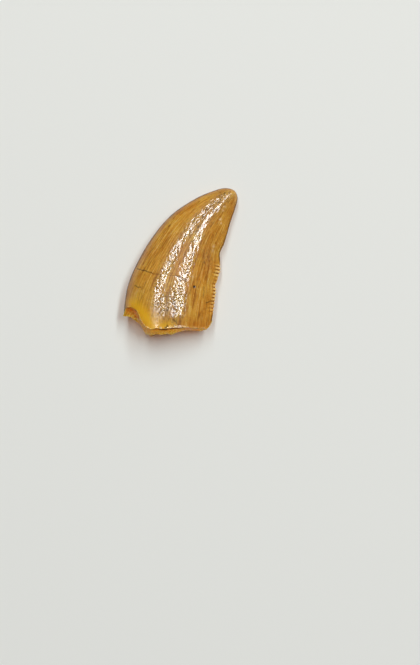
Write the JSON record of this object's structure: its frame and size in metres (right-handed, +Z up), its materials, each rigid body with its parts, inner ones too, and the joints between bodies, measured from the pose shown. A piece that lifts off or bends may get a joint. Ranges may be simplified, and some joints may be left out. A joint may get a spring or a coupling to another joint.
{
  "type": "theropod dinosaur tooth",
  "caption": "Curved fossil tooth crown of a meat-eating dinosaur with one serrated edge, broken off at the base and lying on its side.",
  "frame": {"origin": "on the surface that the tooth rests on, under the middle of its outline", "axes": "+X towards the serrated rear edge, +Y from the broken base to the tip, +Z up, out of the cheek that faces the viewer"},
  "size_m": [0.0229, 0.0298, 0.0075],
  "materials": {
    "enamel": "glossy amber-brown fossil enamel, streaked lengthwise, over dull orange-brown dentine at the break"
  },
  "bodies": {
    "root": {"tooth_crown": "enamel"}
  },
  "joints": []
}
